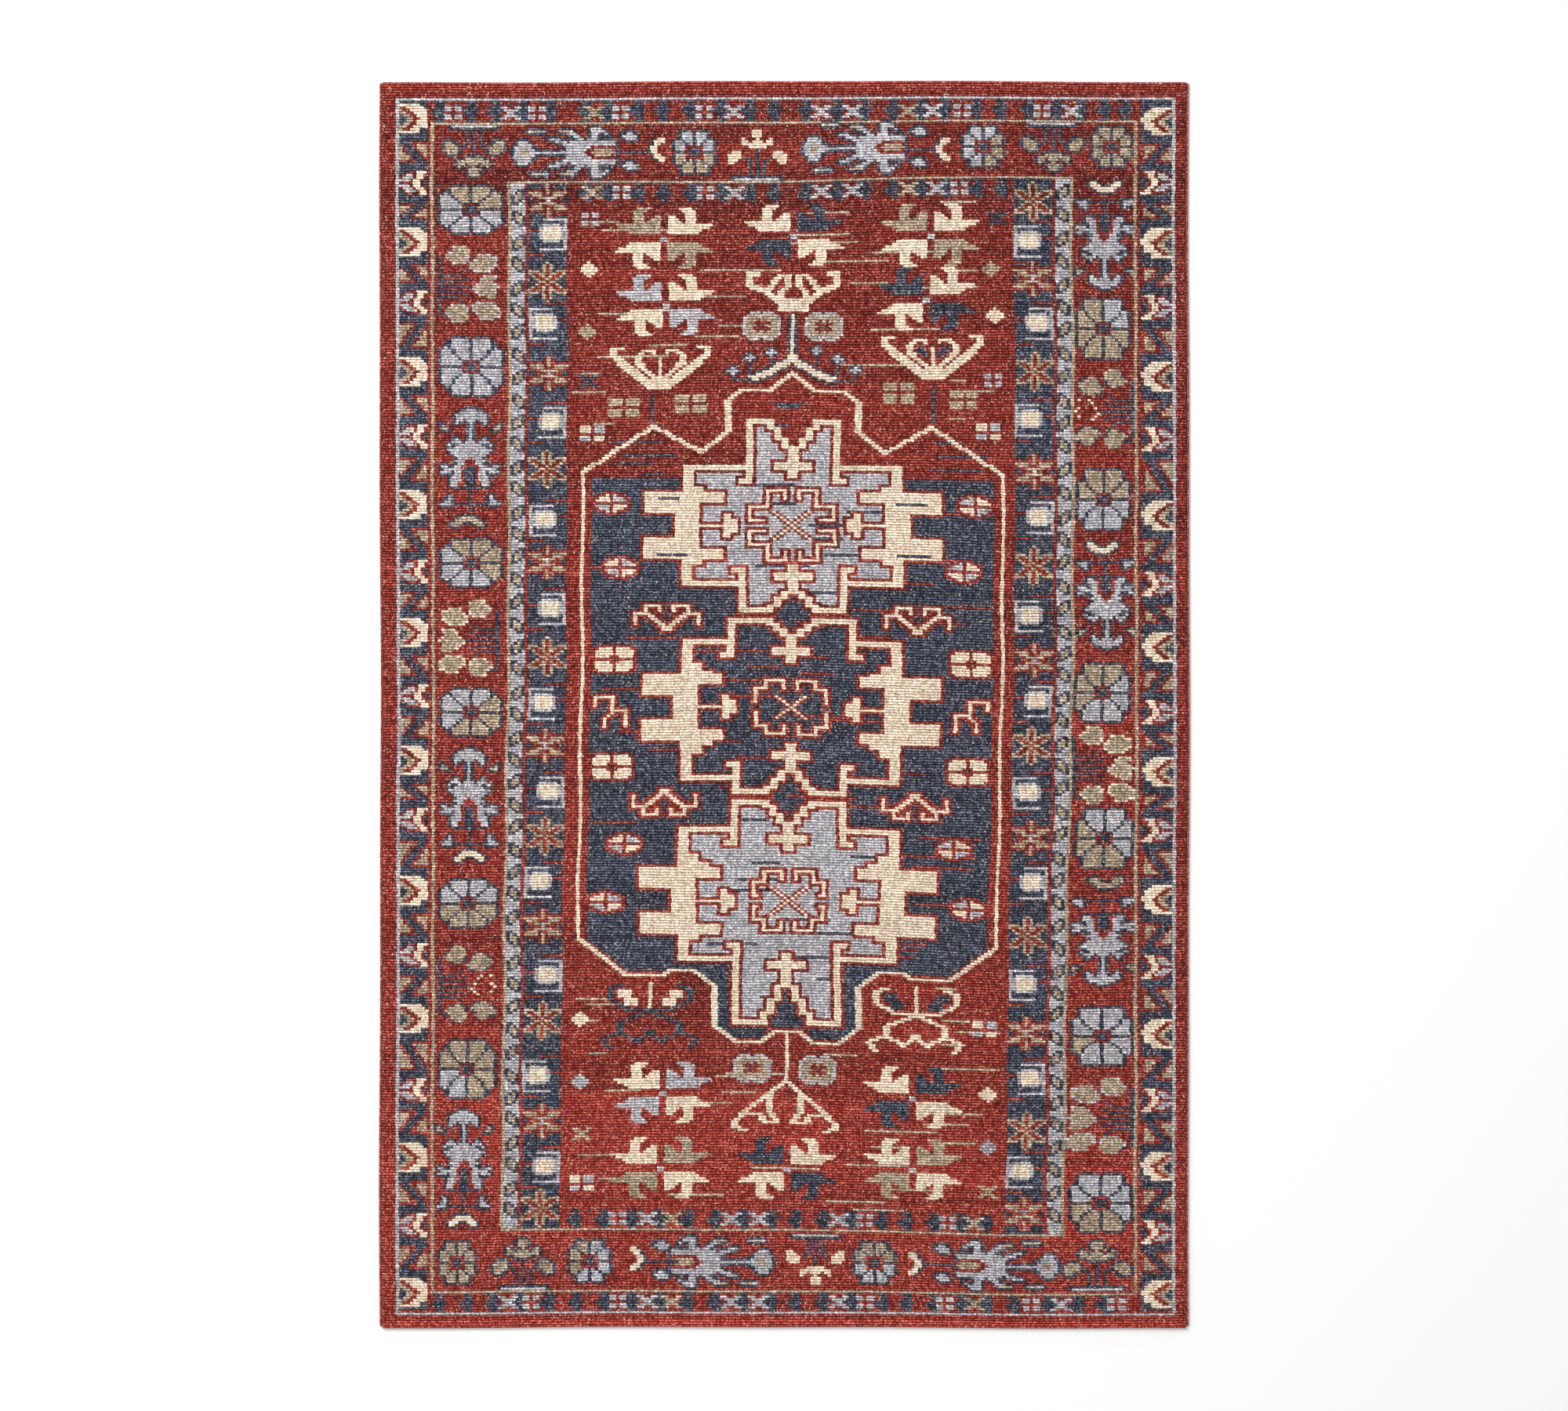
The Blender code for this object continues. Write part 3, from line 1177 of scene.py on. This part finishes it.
def pile_strip(name, first_col, end_col, colours, jitter, material):
    """One lengthwise strip of pile: every knot is a small tuft, raised in its middle."""
    width = end_col - first_col
    col, row = np.meshgrid(np.arange(first_col, end_col + 1), np.arange(ROWS + 1))
    rough_corner, rough_tuft = jitter[0][:, first_col:end_col + 1], jitter[1][:, first_col:end_col]
    rim = (col == 0) | (col == COLS) | (row == 0) | (row == ROWS)
    across, along = CORNER_STRAY
    stray = (rough_corner - 0.5) * ~rim
    x, y = on_rug(col + across * stray, row + along * np.roll(stray, 1, axis=0) * ~rim)
    least, added = CORNER_DEPTH
    z = SHEET_TOP - TUFT_GAP * (least + added * rough_corner) + pile_wander(x, y) - RIM_DROP * rim
    across, along = MIDDLE_STRAY
    mid_x, mid_y = on_rug(col[:-1, :-1] + (1 - across) / 2 + across * rough_tuft,
                          row[:-1, :-1] + (1 - along) / 2 + along * rough_tuft[:, ::-1])
    mid_z = SHEET_TOP - MIDDLE_DEPTH * TUFT_GAP * rough_tuft + pile_wander(mid_x, mid_y)
    tops, tufts = table_of(x, y, z), table_of(mid_x, mid_y, mid_z)
    centre = len(tops) + np.arange(len(tufts)).reshape(ROWS, width)
    a, b, c, d = cell_corners(np.arange(len(tops)).reshape(ROWS + 1, width + 1))
    fans = [np.stack([p, q, centre], axis=-1) for p, q in ((a, b), (b, c), (c, d), (d, a))]
    triangles = np.stack(fans, axis=2).reshape(-1, 3)
    edge = boundary(ROWS + 1, width + 1)
    feet = tops[edge].copy()
    feet[:, 2] = GROUND_TOP
    foot = len(tops) + len(tufts) + np.arange(len(edge))
    walls = faces_of(edge, foot, np.roll(foot, -1), np.roll(edge, -1))
    points = np.concatenate([tops, tufts, feet])
    made = add_mesh(name, points, [triangles, walls, foot[::-1][None]], material)
    knots = np.repeat(colours[:, first_col:end_col].reshape(-1, 3), 4, axis=0)
    corners = table_of(col, row)
    places = np.concatenate([corners, table_of(col[:-1, :-1], row[:-1, :-1]) + 0.5, corners[edge]])
    dress_strip(made, knots, colours.mean(axis=(0, 1)) * PILE_EDGE_PAINTED_SHADE, places, first_col, width)
    return made


def back_strip(name, first_col, end_col, colours, material):
    """One lengthwise strip of the underside, where every knot shows flat between the wefts."""
    width = end_col - first_col
    col, row = np.meshgrid(np.arange(first_col, end_col + 1), np.arange(ROWS + 1))
    x, y = on_rug(col.astype(float), row.astype(float))
    backs = table_of(x, y, BACK_FOOT + BACK_RIDGE * ((col + row) % 2))
    a, b, c, d = cell_corners(np.arange(len(backs)).reshape(ROWS + 1, width + 1))
    edge = boundary(ROWS + 1, width + 1)
    lids = backs[edge].copy()
    lids[:, 2] = BACK_TOP
    lid = len(backs) + np.arange(len(edge))
    faces = [faces_of(a, d, c, b), faces_of(edge, np.roll(edge, -1), np.roll(lid, -1), lid), lid[None]]
    made = add_mesh(name, np.concatenate([backs, lids]), faces, material, smooth=False)
    knots = colours[:, first_col:end_col].reshape(-1, 3)
    corners = table_of(col, row)
    places = np.concatenate([corners, corners[edge]])
    dress_strip(made, knots, colours.mean(axis=(0, 1)) * BACK_EDGE_PAINTED_SHADE, places, first_col, width)
    return made


def ground_sheet(material):
    """The woven ground inside the rug, between its back and its pile, as one thin slab."""
    cells_across, cells_along = 22, 34
    col, row = np.meshgrid(np.linspace(0, COLS, cells_across + 1), np.linspace(0, ROWS, cells_along + 1))
    x, y = on_rug(col, row)
    count = x.size
    levels = [table_of(x, y, np.full(x.shape, z)) for z in (GROUND_TOP, GROUND_FOOT)]
    upper = faces_of(*cell_corners(np.arange(count).reshape(x.shape)))
    lower = upper[:, ::-1] + count
    edge = boundary(*x.shape)
    walls = faces_of(edge, edge + count, np.roll(edge, -1) + count, np.roll(edge, -1))
    return add_mesh("rug_ground", np.concatenate(levels), [upper, lower, walls], material, smooth=False)


def selvedge(name, side, material):
    """The overcast cord along one long side: wool wrapped round it, a ridge for each wrap."""
    half_length = RUG_LENGTH / 2 - CORD_END_INSET
    rings = int(2 * half_length / WRAP_PITCH) * 2
    y = np.linspace(-half_length, half_length, rings + 1)
    rng = np.random.default_rng(SEED + side + 5)
    ridge = np.where(np.arange(rings + 1) % 2 == 0, GROOVE_SHARE, 1.0) + rng.uniform(-0.03, 0.0, rings + 1)
    tip = np.clip((half_length - np.abs(y)) / CORD_TIP, 0, 1)
    swell = ridge * (TIP_SHARE + (1 - TIP_SHARE) * np.sqrt(1 - (1 - tip) ** 2))
    turn = 2 * math.pi * (np.arange(CORD_SIDES) + 0.5) / CORD_SIDES
    centre_x = HALF_SHEET + side_wander(y, side) + SEAT_GAP + CORD_WIDTH / 2
    reach = np.cos(turn) / math.cos(math.pi / CORD_SIDES) * CORD_WIDTH / 2 * swell[:, None]
    z = CORD_HEIGHT / 2 * (1 + np.sin(turn) * swell[:, None])
    points = table_of(side * (centre_x[:, None] + reach), y[:, None] + WRAP_SLANT * np.sin(turn), z)
    ring = np.arange(len(points)).reshape(rings + 1, CORD_SIDES)
    ahead = np.roll(ring, -1, axis=1)
    faces = [faces_of(ring[:-1], ahead[:-1], ahead[1:], ring[1:]), ring[0][::-1][None], ring[-1][None]]
    if side < 0:
        faces = [group[:, ::-1] for group in faces]
    made = add_mesh(name, points, faces, material)
    shade = np.repeat(rng.normal(1.0, WRAP_SHADE, (rings // 2 + 1, 1)), 2, axis=0)[:rings]
    wraps = to_linear(CORD_COLOUR) * shade * rng.normal(1.0, HUE_STRAY, (rings, 3))
    paint_faces(made, np.concatenate([np.repeat(wraps, CORD_SIDES, axis=0), wraps[[0, -1]]]))
    around, along = np.meshgrid(np.arange(CORD_SIDES) / 4, np.arange(rings + 1) / 2)
    mark_weave(made, table_of(around, along))
    return made


def new_material(name):
    """A material with nodes, and its shader."""
    material = bpy.data.materials.new(name)
    material.use_nodes = True
    return material, material.node_tree.nodes["Principled BSDF"]


def add_node(material, kind, operation=None, **inputs):
    """Adds a shader node and fills its sockets, from another node's socket or with a plain value.

    A socket called Base_Color is the one named Base Color, and one called socket_1 is the second in order.
    """
    node = material.node_tree.nodes.new("ShaderNode" + kind)
    if operation:
        node.operation = operation
    join(material, node, **inputs)
    return node


def join(material, node, **inputs):
    """Fills the sockets of a node that is there already."""
    for name, value in inputs.items():
        key = int(name[7:]) if name.startswith("socket_") else name.replace("_", " ")
        if isinstance(value, bpy.types.NodeSocket):
            material.node_tree.links.new(value, node.inputs[key])
        else:
            node.inputs[key].default_value = value


def attribute(material, name):
    """The node that reads one of the mesh's own layers."""
    node = add_node(material, "Attribute")
    node.attribute_name = name
    return node


def spread(material, value, low, high, to_low, to_high):
    """Carries a value from one range to another, clamped."""
    node = add_node(material, "MapRange", Value=value, From_Min=low, From_Max=high,
                    To_Min=to_low, To_Max=to_high)
    return node.outputs["Result"]


def combine(material, operation, *values):
    """A sum, product, wave or other result of one to three values."""
    node = add_node(material, "Math", operation)
    for number, value in enumerate(values):
        join(material, node, **{f"socket_{number}": value})
    return node.outputs["Value"]


def mix(material, share, below, above):
    """A colour between two others: above shows where share is 1."""
    node = add_node(material, "Mix")
    node.data_type = "RGBA"
    join(material, node, socket_0=share, socket_6=below, socket_7=above)
    return node.outputs[2]


def cells(material, weave, across, along, randomness):
    """Scattered cells, across and along of them to a knot: one for each strand of yarn."""
    scaled = add_node(material, "VectorMath", "MULTIPLY", socket_0=weave, socket_1=(across, along, 1.0))
    return add_node(material, "TexVoronoi", Vector=scaled.outputs["Vector"], Scale=1.0, Randomness=randomness)


def noise(material, places, scale, detail=2.0):
    """Soft noise of a scale per metre."""
    node = add_node(material, "TexNoise", Vector=places, Scale=scale, Detail=detail, Roughness=0.6)
    return node.outputs["Fac"]


def strand_tone_and_painted_light(material, weave, places):
    """How light each spot of the yarn is, from 0 in a pit to 1 on a raised strand. It is partly each strand's
    own tone and the fibres' grain, and partly painted shade in the pits and in the gaps between rows and,
    fainter, between knots side by side.
    """
    strands = cells(material, weave, 2.0, 1.0, 0.6)
    lots = add_node(material, "SeparateColor", Color=strands.outputs["Color"]).outputs
    fibres = spread(material, noise(material, places, 760.0, 2.0), 0.32, 0.68, 0.0, 1.0)
    light = combine(material, "MULTIPLY_ADD", lots["Red"], 0.42, combine(material, "MULTIPLY", fibres, 0.5))
    place = add_node(material, "SeparateXYZ", Vector=weave).outputs
    sway = combine(material, "SINE", combine(material, "MULTIPLY", place["X"], 2 * math.pi))
    swaying_row = combine(material, "MULTIPLY_ADD", sway, 0.09, place["Y"])
    # Painted shade: dark lines in the gaps between rows and, fainter, between knots side by side.
    for along, start, depth, lot in ((swaying_row, -0.1, 1.0, "Green"), (place["X"], 0.5, 0.15, "Blue")):
        wave = combine(material, "COSINE", combine(material, "MULTIPLY", along, 2 * math.pi))
        share = spread(material, lots[lot], 0.0, 1.0, 1.0, 0.45)
        gap = combine(material, "MULTIPLY", spread(material, wave, start, 1.0, 0.0, depth), share)
        light = combine(material, "SUBTRACT", light, gap)
    # Painted shade in the pits between the strands, away from their middles.
    pit = spread(material, strands.outputs["Distance"], 0.4, 0.8, 0.0, 0.3)
    return spread(material, combine(material, "SUBTRACT", light, pit), -0.24, 0.67, 0.0, 1.0), strands, fibres


def pale_specks(material, weave, places):
    """Where stray pale fibres show: small dots, thick in some places and rare in others."""
    dots = cells(material, weave, 2.0, 1.5, 1.0)
    lot = add_node(material, "SeparateColor", Color=dots.outputs["Color"]).outputs["Green"]
    crowd = spread(material, noise(material, places, 14.0), 0.4, 0.75, 0.0, 0.08)
    chosen = spread(material, combine(material, "ADD", lot, crowd), 0.97, 0.99, 0.0, 1.0)
    small = spread(material, dots.outputs["Distance"], 0.15, 0.5, 0.95, 0.0)
    return combine(material, "MULTIPLY", chosen, small)


def wool_material(name, roughness):
    """Wool: the knots' own colours, broken up into strands, with painted shade in the pits and between rows,
    painted highlight on raised strands, pale fibres and a soft sheen.
    """
    material, shader = new_material(name)
    weave = attribute(material, "weave").outputs["Vector"]
    places = add_node(material, "TexCoord").outputs["Object"]
    light, strands, fibres = strand_tone_and_painted_light(material, weave, places)

    # Painted shade and highlight: dark spots, in pits and gaps, are deeper in hue than light ones on raised
    # strands, so the light drives a gamma as well as the strength.
    gamma = spread(material, light, 0.0, 1.0, 1.75, 0.62)
    deep = add_node(material, "Gamma", Color=attribute(material, "yarn").outputs["Color"], Gamma=gamma)
    strength = spread(material, light, 0.0, 1.0, 0.42, 1.5)
    shaded = add_node(material, "VectorMath", "SCALE", socket_0=deep.outputs["Color"], Scale=strength)
    hue = add_node(material, "VectorMath", "MULTIPLY_ADD", socket_0=strands.outputs["Color"],
                   socket_1=(0.08, 0.08, 0.08), socket_2=(0.96, 0.96, 0.96))
    tinted = add_node(material, "VectorMath", "MULTIPLY", socket_0=shaded.outputs["Vector"],
                      socket_1=hue.outputs["Vector"])
    specked = mix(material, pale_specks(material, weave, places), tinted.outputs["Vector"],
                  (*to_linear(STRAY_FIBRE_COLOUR), 1.0))

    bump = add_node(material, "Bump", Strength=0.5, Distance=0.0009, Height=light)
    join(material, shader, Base_Color=specked, Normal=bump.outputs["Normal"],
         Roughness=spread(material, fibres, 0.0, 1.0, roughness + 0.05, roughness - 0.06),
         Sheen_Weight=0.12, Sheen_Roughness=0.5, Specular_IOR_Level=0.15)
    return material


def back_material():
    """The underside: flat knots in rows, with the pale weft showing in thin lines between them, and painted
    shade in lines along the edges and the middle of each knot.
    """
    material, shader = new_material("back_wool")
    weave = attribute(material, "weave").outputs["Vector"]
    places = add_node(material, "TexCoord").outputs["Object"]
    split = add_node(material, "SeparateXYZ", Vector=weave)
    across = combine(material, "COSINE", combine(material, "MULTIPLY", split.outputs["X"], 4 * math.pi))
    along = combine(material, "COSINE", combine(material, "MULTIPLY", split.outputs["Y"], 2 * math.pi))
    fibres = spread(material, noise(material, places, 500.0, 3.0), 0.3, 0.7, 0.0, 1.0)
    weft = combine(material, "MULTIPLY", spread(material, along, 0.6, 1.0, 0.0, 0.9), fibres)
    mixed = mix(material, weft, attribute(material, "yarn").outputs["Color"],
                (*to_linear(WEFT_COLOUR), 1.0))
    # Painted shade: dark lines along the edges and the middle of each knot's back, between its two rounded
    # halves; the fibres' grain comes on top.
    grain = spread(material, fibres, 0.0, 1.0, 0.65, 1.2)
    shade = combine(material, "MULTIPLY", spread(material, across, -1.0, 1.0, 1.05, 0.7), grain)
    tint = add_node(material, "VectorMath", "SCALE", socket_0=mixed, Scale=shade)
    bump = add_node(material, "Bump", Strength=0.4, Distance=0.0005, Height=shade)
    join(material, shader, Base_Color=tint.outputs["Vector"], Normal=bump.outputs["Normal"], Roughness=0.92,
         Sheen_Weight=0.05, Specular_IOR_Level=0.15)
    return material


def plain_material(name, colour, roughness):
    """A plain matt surface."""
    material, shader = new_material(name)
    join(material, shader, Base_Color=(*colour, 1.0), Roughness=roughness)
    return material


def strip_ends(count):
    """The first and end columns of count strips of nearly one width."""
    edges = [round(COLS * step / count) for step in range(count + 1)]
    return list(zip(edges, edges[1:]))


def build_rug():
    """Makes every shown piece and ties it to the frame."""
    chart = draw_chart()
    colours = knot_colours(chart)
    jitter = corner_field(np.random.default_rng(SEED + 1))
    pile_wool = wool_material("pile_wool", roughness=0.9)
    cord_wool = wool_material("cord_wool", roughness=0.88)
    underside = back_material()
    ground = ground_sheet(plain_material("ground_wool", to_linear(GROUND_COLOUR), roughness=0.95))
    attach(ground, "root")
    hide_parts("rug_body")
    pieces = []
    for number, (first, end) in enumerate(strip_ends(STRIPS), start=1):
        pieces.append(pile_strip(f"pile_{number}", first, end, colours, jitter, pile_wool))
    for number, (first, end) in enumerate(strip_ends(BACK_STRIPS), start=1):
        pieces.append(back_strip(f"back_{number}", first, end, colours, underside))
    for piece in pieces:
        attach(piece, "root")
        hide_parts("rug_body")
    for name, side in (("selvedge_left", -1), ("selvedge_right", 1)):
        cord = selvedge(name + "_wraps", side, cord_wool)
        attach(cord, "root")
        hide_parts(name)
        pieces.append(cord)


def light_the_room():
    """An even white surround and one large soft lamp high on the left."""
    world = bpy.data.worlds.new("room")
    bpy.context.scene.world = world
    world.use_nodes = True
    sky = world.node_tree.nodes["Background"]
    sky.inputs["Color"].default_value = (1.0, 1.0, 1.0, 1.0)
    sky.inputs["Strength"].default_value = SURROUND_STRENGTH
    lamp = bpy.data.lights.new("key", "AREA")
    lamp.energy = LAMP_POWER
    lamp.size = LAMP_SIZE
    holder = bpy.data.objects.new("key", lamp)
    holder.location = LAMP_PLACE
    holder.rotation_euler = [math.radians(angle) for angle in LAMP_TURN]
    bpy.context.collection.objects.link(holder)


def lay_floor():
    """A plain pale floor."""
    mesh = bpy.data.meshes.new("floor")
    corners = [(x * FLOOR_REACH, y * FLOOR_REACH, 0) for x, y in ((-1, -1), (1, -1), (1, 1), (-1, 1))]
    mesh.from_pydata(corners, [], [(0, 1, 2, 3)])
    mesh.materials.append(plain_material("floor_white", FLOOR_COLOUR, roughness=1.0))
    floor = bpy.data.objects.new("floor", mesh)
    floor.location.z = FLOOR_LEVEL
    bpy.context.collection.objects.link(floor)


def place_camera():
    """Straight above the rug, as in the photograph, with the frame three metres wide."""
    camera = bpy.data.cameras.new("camera")
    camera.sensor_width = SENSOR_WIDTH
    camera.lens = SENSOR_WIDTH * CAMERA_PLACE[2] / FRAME_WIDTH
    holder = bpy.data.objects.new("camera", camera)
    holder.location = CAMERA_PLACE
    bpy.context.collection.objects.link(holder)
    bpy.context.scene.camera = holder


build_rug()
light_the_room()
lay_floor()
place_camera()
bpy.context.scene.view_settings.view_transform = "Standard"
